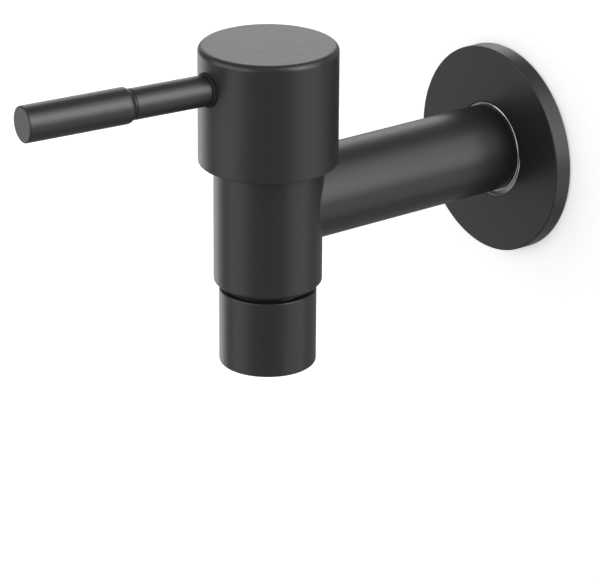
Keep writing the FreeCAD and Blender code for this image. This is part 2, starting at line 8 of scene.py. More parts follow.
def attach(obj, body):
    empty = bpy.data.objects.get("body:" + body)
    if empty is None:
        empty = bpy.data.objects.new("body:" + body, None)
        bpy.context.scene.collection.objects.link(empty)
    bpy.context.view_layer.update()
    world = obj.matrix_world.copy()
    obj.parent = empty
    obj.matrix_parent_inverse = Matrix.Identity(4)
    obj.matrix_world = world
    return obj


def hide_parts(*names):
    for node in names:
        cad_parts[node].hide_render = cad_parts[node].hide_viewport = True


# A wall tap with a side lever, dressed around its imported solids.
# Sizes in the dictionaries are millimetres. Pieces are turned in millimetres and settled in metres.
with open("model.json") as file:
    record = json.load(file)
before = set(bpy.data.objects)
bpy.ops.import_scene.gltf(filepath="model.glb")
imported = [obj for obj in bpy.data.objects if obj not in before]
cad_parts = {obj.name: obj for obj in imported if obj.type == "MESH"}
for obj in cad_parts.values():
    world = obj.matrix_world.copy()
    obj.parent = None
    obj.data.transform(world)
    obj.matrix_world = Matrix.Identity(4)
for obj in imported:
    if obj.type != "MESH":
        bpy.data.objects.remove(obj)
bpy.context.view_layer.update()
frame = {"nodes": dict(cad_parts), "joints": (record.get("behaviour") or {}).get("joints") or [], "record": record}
nodes = frame["nodes"]

mm = 0.001
joints = {joint["name"]: joint for joint in frame["joints"]}
slotOf = {part["node"]: part["material_slot"] for part in frame["record"]["subparts"]}
groups = frame["record"]["behaviour"]["bodies"]
bodyOf = {node: body for body, group in groups.items() for node in group}
barrelAxis = Vector(joints["handle_turn"]["pos_m"])
restTurn = -joints["handle_turn"]["range_deg"][1]  # the handle rests this far short of fully open

onBarrel = Matrix.Translation(barrelAxis)
onWall = Matrix.Rotation(math.radians(-90), 4, "X")  # what is turned about Z then points into the wall
onHandle = onBarrel @ Matrix.Rotation(math.radians(restTurn), 4, "Z")
outOfCap = Matrix.Rotation(math.radians(90), 4, "X")  # what is turned about Z then points away from the wall


# Small helpers

def packed(node, place):  # a solid's ends, radius and narrowest hole, on the axis that its piece is turned on
    back = place.inverted() @ nodes[node].matrix_world
    spots = [back @ vertex.co / mm for vertex in nodes[node].data.vertices]
    heights, radii = [spot.z for spot in spots], [spot.xy.length for spot in spots]
    reach = {"bottom": min(heights), "top": max(heights), "radius": max(radii), "hole": min(radii)}
    return {name: round(value, 3) for name, value in reach.items()}


def hexColour(code):  # sRGB hex to the linear colour that Blender wants
    shares = [int(code[i:i + 2], 16) / 255 for i in (1, 3, 5)]
    return [s / 12.92 if s <= 0.04045 else ((s + 0.055) / 1.055) ** 2.4 for s in shares] + [1.0]


def aimVector(azimuth, elevation):  # azimuth 0 stands in front of the wall, 90 to the right of it
    a, e = math.radians(azimuth), math.radians(elevation)
    return Vector((math.sin(a) * math.cos(e), -math.cos(a) * math.cos(e), math.sin(e)))


def addNode(tree, kind, feeds=(), **settings):
    # feeds: values, links, or nodes for their first output, in the order of the sockets or by their names
    node = tree.nodes.new(kind)
    for name, value in settings.items():
        setattr(node, name, value)
    pairs = feeds.items() if isinstance(feeds, dict) else enumerate(feeds)
    for key, value in pairs:
        source = value.outputs[0] if isinstance(value, bpy.types.Node) else value
        if isinstance(source, bpy.types.NodeSocket):
            tree.links.new(source, node.inputs[key])
        else:
            node.inputs[key].default_value = source
    return node


def newMaterial(name):  # the material, its empty tree, and the coordinates that its patterns lie on
    material = bpy.data.materials.new(name)
    material.use_nodes = True
    tree = material.node_tree
    tree.nodes.clear()
    return material, tree, addNode(tree, "ShaderNodeTexCoord").outputs["Object"]


def putIn(name, data):  # a new object in the scene
    thing = bpy.data.objects.new(name, data)
    bpy.context.scene.collection.objects.link(thing)
    return thing


def meshFrom(work, name):
    mesh = bpy.data.meshes.new(name)
    work.to_mesh(mesh)
    work.free()
    return mesh


# Camera, at the place that the tap's own outlines give in the picture

viewpoint = {
    "pictureWidth": 600,  # pixels
    "focalPixels": 3372.3,
    "sensor": 36.0,
    "distance": 924.9,
    "azimuth": 53.044,  # degrees
    "elevation": 22.560,
    "roll": 0.403,
    "aimRight": 8.936,  # the aim's offset from the barrel's axis, across and up the view
    "aimUp": -23.676,
    "nearest": 50.0,
}


def placeCamera():
    back = aimVector(viewpoint["azimuth"], viewpoint["elevation"])
    level = (-back).cross(Vector((0, 0, 1))).normalized()
    upright = level.cross(-back)
    roll = math.radians(viewpoint["roll"])
    right = level * math.cos(roll) + upright * math.sin(roll)
    up = upright * math.cos(roll) - level * math.sin(roll)
    aim = barrelAxis + (level * viewpoint["aimRight"] + upright * viewpoint["aimUp"]) * mm
    spot = aim + back * viewpoint["distance"] * mm
    lens = bpy.data.cameras.new("photoLens")
    lens.sensor_width = viewpoint["sensor"]
    lens.lens = viewpoint["focalPixels"] / viewpoint["pictureWidth"] * viewpoint["sensor"]
    lens.clip_start = viewpoint["nearest"] * mm
    camera = putIn("photoCamera", lens)
    camera.matrix_world = Matrix.Translation(spot) @ Matrix((right, up, back)).transposed().to_4x4()
    bpy.context.scene.camera = camera


# Light: large soft panels round the tap, and a low even world

panels = {  # azimuth and elevation from the barrel's axis, width and height in metres, glow of its face
    "leftPanel": (-9, 15, 1.5, 1.1, 1.85),
    "leftLowPanel": (-16, -25, 0.8, 0.5, 0.7),
    "farLeftPanel": (-77, -22, 0.55, 0.6, 0.9),
    "rightPanel": (117, 12, 0.85, 0.7, 2.25),
    "rightHighPanel": (120, 48, 0.9, 0.7, 2.0),
    "rightLowPanel": (123, -25, 1.0, 0.6, 0.6),
    "sheenPanel": (110, 31, 0.3, 0.75, 4.9),
    "backPanel": (241, 22, 1.0, 0.9, 0.55),
    "backBrightPanel": (232, 24, 0.6, 0.4, 1.1),
    "backLowPanel": (263, -20, 0.6, 0.6, 0.9),
    "backRightPanel": (203, 5, 0.5, 0.9, 0.1),
}
panelDistance = 1.1  # metres
worldGlow = 0.3


def hangPanel(name, azimuth, elevation, width, height, glow):
    lamp = bpy.data.lights.new(name, "AREA")
    lamp.shape = "RECTANGLE"
    lamp.size, lamp.size_y = width, height
    lamp.energy = glow * width * height * math.pi
    panel = putIn(name, lamp)
    away = aimVector(azimuth, elevation)
    turn = away.to_track_quat("Z", "Y").to_matrix().to_4x4()
    panel.matrix_world = Matrix.Translation(barrelAxis + away * panelDistance) @ turn
    panel.visible_camera = False


def makeWorld():  # the camera sees white, and the tap sees a low even glow
    world = bpy.data.worlds.new("studioAir")
    bpy.context.scene.world = world
    world.use_nodes = True
    tree = world.node_tree
    tree.nodes.clear()
    ray = addNode(tree, "ShaderNodeLightPath")
    white = addNode(tree, "ShaderNodeBackground", {"Color": hexColour("#ffffff"), "Strength": 1.0})
    air = addNode(tree, "ShaderNodeBackground", {"Color": hexColour("#ffffff"), "Strength": worldGlow})
    pick = addNode(tree, "ShaderNodeMixShader", [ray.outputs["Is Camera Ray"], air, white])
    addNode(tree, "ShaderNodeOutputWorld", {"Surface": pick})


stage = {  # lengths in metres
    "paint": "#f2f2f2",
    "wallSize": 1.3,
    "wallBehind": 0.0004,  # keeps the wall clear of the flange's rim
    "wallLift": 0.42,  # what the camera adds to the lit wall: it is just white where nothing shades it
    "floorSize": 6.0,
    "floorLevel": -1.0,
    "floorLift": 0.85,
    "shadeInner": 0.016,  # painted shade round the inlet's axis: nearer than this the wall gets no lift
    "shadeOuter": 0.029,  # and from here on all of it; the painted shade fades out between
}


def palePaint(name, lift):  # matt white, lifted for the camera except in a painted shade, clear from behind
    pale, tree, coords = newMaterial(name)
    seen = addNode(tree, "ShaderNodeLightPath").outputs["Is Camera Ray"]
    paint = addNode(tree, "ShaderNodeBsdfDiffuse", {"Color": hexColour(stage["paint"])})
    # painted shade: near the inlet's axis the lift fades to nothing, so the wall under the flange stays dark
    distance = addNode(tree, "ShaderNodeVectorMath", [coords], operation="LENGTH").outputs["Value"]
    feeds = [distance, stage["shadeInner"], stage["shadeOuter"], 0.0, lift]
    bare = addNode(tree, "ShaderNodeMapRange", feeds, interpolation_type="SMOOTHSTEP")
    strength = addNode(tree, "ShaderNodeMath", [seen, bare], operation="MULTIPLY")
    glow = addNode(tree, "ShaderNodeEmission", {"Color": hexColour("#ffffff"), "Strength": strength})
    lit = addNode(tree, "ShaderNodeAddShader", [paint, glow])
    clear = addNode(tree, "ShaderNodeBsdfTransparent")
    away = addNode(tree, "ShaderNodeNewGeometry").outputs["Backfacing"]
    pick = addNode(tree, "ShaderNodeMixShader", [away, lit, clear])
    addNode(tree, "ShaderNodeOutputMaterial", {"Surface": pick})
    return pale


def makeStage():  # the wall that the tap stands out of, and a floor well below it
    facing = Matrix.Translation((0, stage["wallBehind"], 0)) @ Matrix.Rotation(math.radians(90), 4, "X")
    below = Matrix.Translation((0, 0, stage["floorLevel"]))
    sheets = {
        "paleWall": (stage["wallSize"], facing, stage["wallLift"]),
        "paleFloor": (stage["floorSize"], below, stage["floorLift"]),
    }
    for name, (size, place, lift) in sheets.items():
        work = bmesh.new()
        bmesh.ops.create_grid(work, x_segments=1, y_segments=1, size=size / 2, matrix=place)
        sheet = putIn(name, meshFrom(work, name))
        sheet.data.materials.append(palePaint(name, lift))
        sheet.visible_diffuse = False
        sheet.visible_glossy = False
        sheet.visible_transmission = False
        sheet.visible_shadow = False


bpy.context.scene.view_settings.view_transform = "Standard"
placeCamera()
for name, values in panels.items():
    hangPanel(name, *values)
makeWorld()
makeStage()
print("camera, panels and stage placed")


# Materials

noiseSpan = (0.3, 0.7)  # noise stays mostly between these


def grain(size):  # the scale of a texture whose grain has this size in millimetres
    return 1 / (size * mm)


def closeFinish(material, tree, colour, roughness, reliefs, **others):
    # colour and roughness: a pattern and the two ends that it goes between. Reliefs: patterns with their
    # depths in millimetres, the one beneath first. Others: what else the shader is given
    pattern, dark, light = colour
    share = addNode(tree, "ShaderNodeMapRange", [pattern, *noiseSpan])
    ends = {0: share, 6: hexColour(dark), 7: hexColour(light)}  # a colour mix has its colours at 6 and 7
    shade = addNode(tree, "ShaderNodeMix", ends, data_type="RGBA").outputs[2]
    pattern, low, high = roughness
    rough = addNode(tree, "ShaderNodeMapRange", [pattern, *noiseSpan, low, high])
    normal = {}
    for height, depth in reliefs:
        feeds = {"Height": height, "Distance": depth * mm, **normal}
        normal = {"Normal": addNode(tree, "ShaderNodeBump", feeds)}
    feeds = {"Base Color": shade, "Roughness": rough, **normal, **others}
    shader = addNode(tree, "ShaderNodeBsdfPrincipled", feeds)
    addNode(tree, "ShaderNodeOutputMaterial", {"Surface": shader})
    return material


def blackPowderCoat():
    # epoxy powder, sprayed and baked: it flows to a closed skin with a soft sheen, faintly wavy like
    # orange peel, and its fine grit (0.05 mm, drawn at 0.3 mm to show) breaks up the highlights
    material, tree, coords = newMaterial("blackPowderCoat")
    cloud = addNode(tree, "ShaderNodeTexNoise", {"Vector": coords, "Scale": grain(6.0)})
    sheen = addNode(tree, "ShaderNodeTexNoise", {"Vector": coords, "Scale": grain(1.2)})
    peel = addNode(tree, "ShaderNodeTexNoise", {"Vector": coords, "Scale": grain(3.5), "Detail": 1.0})
    grit = addNode(tree, "ShaderNodeTexNoise", {"Vector": coords, "Scale": grain(0.3)})
    colour, roughness = (cloud, "#242425", "#262627"), (sheen, 0.32, 0.36)
    return closeFinish(material, tree, colour, roughness, [(peel, 0.02), (grit, 0.004)], IOR=1.5)


def turnedMetal(name, axis, middle, dark, light, rough):  # middle: a point on the lathe's axis
    # bare metal from the lathe: the tool leaves fine rings (0.1 mm apart, drawn at 0.3 mm to show) that
    # lie across the axis on the sides and round it on the faces, and spread each highlight across them
    material, tree, coords = newMaterial(name)
    spot = addNode(tree, "ShaderNodeVectorMath", [coords, middle], operation="SUBTRACT")
    across = addNode(tree, "ShaderNodeVectorMath", [spot, axis], operation="CROSS_PRODUCT")
    radius = addNode(tree, "ShaderNodeVectorMath", [across], operation="LENGTH").outputs["Value"]
    along = addNode(tree, "ShaderNodeVectorMath", [spot, axis], operation="DOT_PRODUCT").outputs["Value"]
    path = addNode(tree, "ShaderNodeMath", [radius, along], operation="ADD")
    rings = addNode(tree, "ShaderNodeTexNoise", {"W": path, "Scale": grain(0.3)}, noise_dimensions="1D")
    cloud = addNode(tree, "ShaderNodeTexNoise", {"Vector": coords, "Scale": grain(2.5)})
    colour, roughness = (cloud, dark, light), (rings, rough - 0.03, rough + 0.05)
    return closeFinish(material, tree, colour, roughness, [(rings, 0.004)], Metallic=1.0)


def rolledMetal(name, dark, light, rough, size=0.5):
    # wire and punched strip, bright from the rolls, with the slight mottle of a pickled skin
    material, tree, coords = newMaterial(name)
    mottle = addNode(tree, "ShaderNodeTexNoise", {"Vector": coords, "Scale": grain(size)})
    colour, roughness = (mottle, dark, light), (mottle, rough - 0.04, rough + 0.06)
    return closeFinish(material, tree, colour, roughness, [(mottle, 0.002)], Metallic=1.0)


def mouldedFinish(name, dark, light, rough, ior, size, depth):
    # pressed or moulded in one colour, with the mould's own skin on it and a faint cloud in its colour
    material, tree, coords = newMaterial(name)
    cloud = addNode(tree, "ShaderNodeTexNoise", {"Vector": coords, "Scale": grain(8 * size)})
    skin = addNode(tree, "ShaderNodeTexNoise", {"Vector": coords, "Scale": grain(size), "Detail": 3.0})
    colour, roughness = (cloud, dark, light), (skin, rough - 0.03, rough + 0.03)
    return closeFinish(material, tree, colour, roughness, [(skin, depth)], IOR=ior)


def vulcanisedFibre():
    # cotton paper pressed hard and dyed red: short fibres lie flat in it and show as pale flecks
    material, tree, coords = newMaterial("vulcanisedFibre")
    flat = addNode(tree, "ShaderNodeMapping", {"Vector": coords, "Scale": (1.0, 0.35, 2.5)})
    fibres = addNode(tree, "ShaderNodeTexNoise", {"Vector": flat, "Scale": grain(0.35), "Detail": 4.0})
    colour, roughness = (fibres, "#7d3023", "#a14f3b"), (fibres, 0.68, 0.68)  # evenly rough
    return closeFinish(material, tree, colour, roughness, [(fibres, 0.01)], IOR=1.54)


turnedStainless = turnedMetal("turnedStainless", (0, 1, 0), (0, 0, 0), "#bdbbb6", "#cfcdc9", 0.17)
springSteel = rolledMetal("springSteel", "#8f8e8c", "#a8a7a4", 0.3)
finishes = {
    "black_coating": blackPowderCoat(),
    "bare_steel": rolledMetal("stainlessWire", "#b9b7b3", "#cbc9c5", 0.24, 0.3),
    "screw_steel": rolledMetal("blackenedSteel", "#2b2a2c", "#403d3c", 0.42),
    "brass": turnedMetal("turnedBrass", (0, 0, 1), barrelAxis, "#c9ae66", "#dcc483", 0.24),
    "disc_ceramic": mouldedFinish("lappedAlumina", "#e9e6dc", "#f3f1ea", 0.16, 1.76, 0.2, 0.0005),
    "seal_rubber": mouldedFinish("nitrileRubber", "#101010", "#161616", 0.75, 1.52, 0.25, 0.004),
    "washer_fibre": vulcanisedFibre(),
    "aerator_plastic": mouldedFinish("greyAcetal", "#bfc1c3", "#cacccd", 0.36, 1.48, 0.4, 0.003),
}
ownFinish = {"inlet_nipple": turnedStainless, "stem_circlip": springSteel}  # other than their slot's


def finishOf(node):
    return ownFinish.get(node, finishes[slotOf[node]])


print("materials:", len(finishes) + len(ownFinish))


# Ways to make a turned piece

crispAngle = 32  # degrees: edges that bend more than this stay crisp


def swing(start, end, share):  # a share of the way round an arc, both ends as seen from its centre
    return start.normalized().slerp(end.normalized(), share) * start.length


# corners: radius, height and, where it is round, the rounding. Two points a guard's length outside each
# rounding keep the shading of the flats beside it flat
def softOutline(corners, steps=6, guard=0.05):
    points = []
    for i, corner in enumerate(corners):
        here = Vector(corner[:2])
        if len(corner) == 2:
            points.append(here)
            continue
        back = (Vector(corners[i - 1][:2]) - here).normalized()
        ahead = (Vector(corners[(i + 1) % len(corners)][:2]) - here).normalized()
        half = back.angle(ahead) / 2
        run = corner[2] / math.tan(half)
        centre = here + (back + ahead).normalized() * corner[2] / math.sin(half)
        start = here + back * run - centre
        end = here + ahead * run - centre
        points.append(centre + start + back * guard)
        points += [centre + swing(start, end, step / steps) for step in range(steps + 1)]
        points.append(centre + end + ahead * guard)
    return points


def fineRun(first, last, count):  # even points between two points of an outline, both left out
    start, end = Vector(first), Vector(last)
    return [tuple(start.lerp(end, i / count)) for i in range(1, count)]


def pieceFrom(work, name):
    bmesh.ops.recalc_face_normals(work, faces=work.faces)
    return putIn(name, meshFrom(work, name))


def joinRings(work, rings, closed):  # a ring of one point makes triangles
    pairs = list(zip(rings, rings[1:]))
    if closed:
        pairs.append((rings[-1], rings[0]))
    sides = max(len(ring) for ring in rings)
    for lower, upper in pairs:
        for k in range(sides):
            j = k + 1
            corners = [
                lower[k % len(lower)],
                lower[j % len(lower)],
                upper[j % len(upper)],
                upper[k % len(upper)],
            ]
            work.faces.new(list(dict.fromkeys(corners)))


def turnOnLathe(name, outline, sides=192):  # an outline that starts on the axis ends on it too
    work = bmesh.new()
    rings = []
    for radius, height in outline:
        if radius == 0:
            rings.append([work.verts.new((0, 0, height))])
            continue
        angles = [math.tau * k / sides for k in range(sides)]
        rings.append([work.verts.new((radius * math.cos(a), radius * math.sin(a), height)) for a in angles])
    joinRings(work, rings, len(rings[0]) > 1)
    return pieceFrom(work, name)


def rod(name, radius, length, place, sides=96):  # a plain cylinder from the origin along its own Z
    piece = turnOnLathe(name, [(0, 0), (radius, 0), (radius, length), (0, length)], sides)
    piece.data.transform(place)
    return piece


def bake(piece):  # the evaluated mesh becomes the piece's own, and its modifiers go
    bpy.context.view_layer.update()
    held = piece.evaluated_get(bpy.context.evaluated_depsgraph_get())
    mesh = bpy.data.meshes.new_from_object(held)
    piece.modifiers.clear()
    old = piece.data
    piece.data = mesh
    bpy.data.meshes.remove(old)


def carve(piece, cutters):
    for cutter in cutters:
        cut = piece.modifiers.new("cut", "BOOLEAN")
        cut.operation = "DIFFERENCE"
        cut.solver = "EXACT"
        cut.object = cutter
    bake(piece)
    for cutter in cutters:
        bpy.data.objects.remove(cutter)


def settle(piece, node, place, crisp=crispAngle, softSpan=None):
    # the finished piece takes its smoothing, place, finish, body and node, and a thread's span stays soft
    mesh = piece.data
    for polygon in mesh.polygons:
        polygon.use_smooth = True
    mesh.set_sharp_from_angle(angle=math.radians(crisp))
    if softSpan:
        inside = [softSpan[0] < vertex.co.z < softSpan[1] for vertex in mesh.vertices]
        for edge in mesh.edges:
            if inside[edge.vertices[0]] and inside[edge.vertices[1]]:
                edge.use_edge_sharp = False
    mesh.transform(place @ Matrix.Scale(mm, 4))
    mesh.materials.clear()
    mesh.materials.append(finishOf(node))
    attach(piece, bodyOf[node])
    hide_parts(node)


# Geometry nodes, built once and driven by named inputs

def newGroup(name, inputs):
    group = bpy.data.node_groups.new(name, "GeometryNodeTree")
    face = group.interface
    face.new_socket("Geometry", in_out="INPUT", socket_type="NodeSocketGeometry")
    for label, kind, value in inputs:
        socket = face.new_socket(label, in_out="INPUT", socket_type="NodeSocket" + kind)
        if kind != "Material":
            socket.default_value = value
    face.new_socket("Geometry", in_out="OUTPUT", socket_type="NodeSocketGeometry")
    return group


def closeGroup(group, shape, material):  # instances made real and painted, as every tree ends
    real = addNode(group, "GeometryNodeRealizeInstances", [shape])
    painted = addNode(group, "GeometryNodeSetMaterial", {"Geometry": real, "Material": material})
    addNode(group, "NodeGroupOutput", [painted])
    return group


def applyGroup(piece, group, values):
    grow = piece.modifiers.new(group.name, "NODES")
    grow.node_group = group
    for socket in group.interface.items_tree:
        if socket.in_out == "INPUT" and socket.name in values:
            grow[socket.identifier] = values[socket.name]
    bake(piece)


def threadGroup():  # presses a right-handed groove into a turned piece, from its crests inwards
    group = newGroup("screwThread", [
        ("Pitch", "Float", 1.0),
        ("Depth", "Float", 0.6),
        ("Crest Radius", "Float", 12.0),
        ("Start", "Float", 0.0),
        ("End", "Float", 10.0),
        ("Flat", "Float", 0.12),
        ("Material", "Material", None),
    ])
    given = addNode(group, "NodeGroupInput").outputs
    place = addNode(group, "GeometryNodeInputPosition")
    x, y, z = addNode(group, "ShaderNodeSeparateXYZ", [place]).outputs
    level = addNode(group, "ShaderNodeCombineXYZ", [x, y])
    length = addNode(group, "ShaderNodeVectorMath", [level], operation="LENGTH").outputs["Value"]
    radius = addNode(group, "ShaderNodeMath", [length, 0.0001], operation="MAXIMUM")
    # how far round and up the screw a point is, and from that its place between two crests
    angle = addNode(group, "ShaderNodeMath", [y, x], operation="ARCTAN2")
    turns = addNode(group, "ShaderNodeMath", [angle, math.tau], operation="DIVIDE")
    climb = addNode(group, "ShaderNodeMath", [z, given["Pitch"]], operation="DIVIDE")
    ahead = addNode(group, "ShaderNodeMath", [climb, turns], operation="SUBTRACT")
    phase = addNode(group, "ShaderNodeMath", [ahead], operation="FRACT")
    double = addNode(group, "ShaderNodeMath", [phase, 2.0], operation="MULTIPLY")
    centred = addNode(group, "ShaderNodeMath", [double, 1.0], operation="SUBTRACT")
    ramp = addNode(group, "ShaderNodeMath", [centred], operation="ABSOLUTE")
    rootFlat = addNode(group, "ShaderNodeMath", [1.0, given["Flat"]], operation="SUBTRACT")
    feeds = [ramp, given["Flat"], rootFlat]
    groove = addNode(group, "ShaderNodeMapRange", feeds, interpolation_type="SMOOTHSTEP")
    past = addNode(group, "ShaderNodeMath", [z, given["Start"]], operation="GREATER_THAN")
    before = addNode(group, "ShaderNodeMath", [z, given["End"]], operation="LESS_THAN")
    held = addNode(group, "ShaderNodeMath", [past, before], operation="MULTIPLY")
    # nothing stands further out than the groove's floor there
    depth = addNode(group, "ShaderNodeMath", [groove, given["Depth"]], operation="MULTIPLY")
    floor = addNode(group, "ShaderNodeMath", [given["Crest Radius"], depth], operation="SUBTRACT")
    inner = addNode(group, "ShaderNodeMath", [radius, floor], operation="MINIMUM")
    share = addNode(group, "ShaderNodeMath", [inner, radius], operation="DIVIDE")
    shares = addNode(group, "ShaderNodeCombineXYZ", [share, share, 1.0])
    moved = addNode(group, "ShaderNodeVectorMath", [place, shares], operation="MULTIPLY")
    feeds = {"Geometry": given["Geometry"], "Selection": held, "Position": moved}
    shaped = addNode(group, "GeometryNodeSetPosition", feeds)
    return closeGroup(group, shaped, given["Material"])


screwThread = threadGroup()
threadMargin = 0.1  # a thread's soft shading starts this far inside its ends


def cutThread(piece, node, sizes, start, end):
    applyGroup(piece, screwThread, {
        "Pitch": sizes["pitch"],
        "Depth": sizes["depth"],
        "Crest Radius": sizes["crest"],
        "Start": start,
        "End": end,
        "Flat": sizes["flat"],
        "Material": finishOf(node),
    })


# Inlet: the tube with its weld, the threaded nipple and the loose wall flange

tube = {
    **packed("inlet_pipe", onBarrel @ onWall),
    "radius": 12.5,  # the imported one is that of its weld
    "barrel": packed("barrel", onBarrel)["radius"],
    "weld": 0.8,
    "weldSteps": 7,
    "straight": 20.0,  # length behind the rounded end, before the rings that lead to the weld
    "ringShares": (0.15, 0.4, 0.7, 0.95, 0.99),  # how far those rings stand along the rest of the tube
    "edge": 0.25,
    "sides": 192,
}


def makeTube():
    radius, bore, barrel, weld = (tube[k] for k in ("radius", "hole", "barrel", "weld"))
    end, steps, sides = tube["top"], tube["weldSteps"], tube["sides"]
    work = bmesh.new()
    plain = softOutline([(bore, end), (radius, end, tube["edge"]), (radius, end - tube["straight"])])[:-1]
    columns = []
    for k in range(sides):
        turn = math.tau * k / sides
        across, up = math.sin(turn), math.cos(turn)
        column = [Vector((r * across, y, r * up)) for r, y in plain]
        # a ball rolled along the corner between tube and barrel leaves the weld's surface
        ball = Vector(((radius + weld) * across, 0, (radius + weld) * up))
        ball.y = math.sqrt((barrel + weld) ** 2 - ball.x ** 2)
        toTube = Vector((-across, 0, -up)) * weld
        toBarrel = Vector((-ball.x, -ball.y, 0)).normalized() * weld
        last = column[-1]
        column += [last.lerp(ball + toTube, share) for share in tube["ringShares"]]
        column += [ball + swing(toTube, toBarrel, step / steps) for step in range(steps + 1)]
        # the end inside the weld follows the barrel's round face to the bore
        inner = Vector((bore * across, math.sqrt(barrel ** 2 - (bore * across) ** 2), bore * up))
        middle = (column[-1] + inner) / 2
        middle.y = math.sqrt(barrel ** 2 - middle.x ** 2)
        column += [middle, inner]
        columns.append([work.verts.new(spot) for spot in column])
    joinRings(work, list(zip(*columns)), True)
    settle(pieceFrom(work, "inletTube"), "inlet_pipe", onBarrel)


nipple = {
    **packed("inlet_nipple", onWall),
    "spigot": 10.47,
    "spigotEdge": 0.3,
    "ringFace": -4.9,
    "ringBack": -1.6,
    "ringEdge": 0.4,
    "ringBackEdge": 0.2,
    "relief": 9.5775,
    "reliefEdge": 0.3,
    "crest": 10.4775,  # G1/2, 14 threads to the inch
    "pitch": 1.8143,
    "depth": 1.162,
    "flat": 0.14,  # share of the pitch at a crest or a root
    "threadStart": 0.07,
    "threadRings": 98,
    "lead": 1.0,
    "leadRings": 7,
    "mouthEdge": 0.4,
}


def makeNipple():
    n = nipple
    threadEnd = n["top"] - n["lead"]
    first, last, tip = (n["crest"], 0), (n["crest"], threadEnd), (n["crest"] - n["lead"], n["top"])
    outline = [
        (n["hole"], n["bottom"], n["spigotEdge"]),
        (n["spigot"], n["bottom"], n["spigotEdge"]),
        (n["spigot"], n["ringFace"]),
        (n["radius"], n["ringFace"], n["ringEdge"]),
        (n["radius"], n["ringBack"], n["ringBackEdge"]),
        (n["relief"], n["ringBack"], n["reliefEdge"]),
        (n["relief"], 0),
        first,
        *fineRun(first, last, n["threadRings"]),
        last,
        *fineRun(last, tip, n["leadRings"]),
        tip,
        (n["hole"], n["top"], n["mouthEdge"]),
    ]
    piece = turnOnLathe("threadedNipple", softOutline(outline))
    cutThread(piece, "inlet_nipple", n, n["threadStart"], n["top"])
    settle(piece, "inlet_nipple", onWall, softSpan=(threadMargin, threadEnd))


flangeDrop = 0.55  # the loose flange hangs this low on its tube
onTube = Matrix.Translation((0, 0, -flangeDrop * mm)) @ onWall
flange = {
    **packed("wall_flange", onTube),
    "sheet": 1.2,
    "holeEdge": 0.25,
    "frontEdge": 0.4,
    "burr": 0.15,  # the small rounding that pressing leaves at the cut edges
    "innerBend": 0.5,
    "sides": 256,
}


def makeFlange():
    f = flange
    back, inner = f["bottom"] + f["sheet"], f["radius"] - f["sheet"]
    outline = [
        (f["hole"], back, f["burr"]),
        (f["hole"], f["bottom"], f["holeEdge"]),
        (f["radius"], f["bottom"], f["frontEdge"]),
        (f["radius"], f["top"], f["burr"]),
        (inner, f["top"], f["burr"]),
        (inner, back, f["innerBend"]),
    ]
    piece = turnOnLathe("wallFlange", softOutline(outline), f["sides"])
    settle(piece, "wall_flange", onTube)


makeTube()
makeNipple()
makeFlange()
print("inlet made")


# Upright body: the barrel and the threaded bush in its foot

barrel = {
    **packed("barrel", onBarrel),
    "footChamfer": 1.3,
    "footEdge": 0.3,
    "footShoulder": 0.4,
    "topChamfer": 0.5,
    "topEdge": 0.2,
    "web": -13.0,
    "seat": -10.0,
    "bushSocket": 10.53,
    "socketEdge": 0.2,
    "chamber": 10.0,
    "threadBore": 10.5275,
    "threadBottom": 8.5,
    "port": 8.0,
}


def makeBarrel():
    b = barrel
    low, high = b["bottom"], b["top"]
    outline = [
        (b["hole"], b["web"]),
        (b["bushSocket"], b["web"]),
        (b["bushSocket"], low, b["socketEdge"]),
        (b["radius"] - b["footChamfer"], low, b["footEdge"]),
        (b["radius"], low + b["footChamfer"], b["footShoulder"]),
        (b["radius"], high - b["topChamfer"], b["topEdge"]),
        (b["radius"] - b["topChamfer"], high, b["topEdge"]),
        (b["threadBore"], high),
        (b["threadBore"], b["threadBottom"]),
        (b["chamber"], b["threadBottom"]),
        (b["chamber"], b["seat"]),
        (b["hole"], b["seat"]),
    ]
    piece = turnOnLathe("barrelBody", softOutline(outline))
    carve(piece, [rod("portCutter", b["port"], 2 * b["radius"], onWall)])
    settle(piece, "barrel", onBarrel)


bush = {
    **packed("outlet_bush", onBarrel),
    "holeEdge": 0.2,
    "spigot": 10.5,
    "spigotEdge": 0.4,
    "shoulder": barrel["bottom"],
    "crest": 12.0,  # M24 x 1
    "pitch": 1.0,
    "depth": 0.613,
    "flat": 0.12,
    "threadRings": 82,
    "runOut": 0.04,
    "relief": 11.3,
    "reliefBottom": -23.7,
    "chamfer": 0.5,
    "grooveFloor": 9.03,
    "grooveLow": -19.68,
    "grooveHigh": -18.12,
}


def makeBush():
    b = bush
    first, last = (b["crest"], b["bottom"] + b["chamfer"]), (b["crest"], b["reliefBottom"])
    outline = [
        (b["hole"], b["bottom"], b["holeEdge"]),
        (b["crest"] - b["chamfer"], b["bottom"]),
        first,
        *fineRun(first, last, b["threadRings"]),
        last,
        (b["relief"], b["reliefBottom"]),
        (b["relief"], b["shoulder"]),
        (b["spigot"], b["shoulder"]),
        (b["spigot"], b["grooveLow"]),
        (b["grooveFloor"], b["grooveLow"]),
        (b["grooveFloor"], b["grooveHigh"]),
        (b["spigot"], b["grooveHigh"]),
        (b["spigot"], b["top"], b["spigotEdge"]),
        (b["hole"], b["top"], b["holeEdge"]),
    ]
    piece = turnOnLathe("outletBush", softOutline(outline))
    threadTop = b["reliefBottom"] - b["runOut"]
    cutThread(piece, "outlet_bush", b, b["bottom"] - b["pitch"], threadTop)
    softSpan = (b["bottom"] + b["chamfer"] + threadMargin, threadTop)
    settle(piece, "outlet_bush", onBarrel, softSpan=softSpan)


makeBarrel()
makeBush()
print("body made")


# Handle: the cap, the lever and the ring round its root

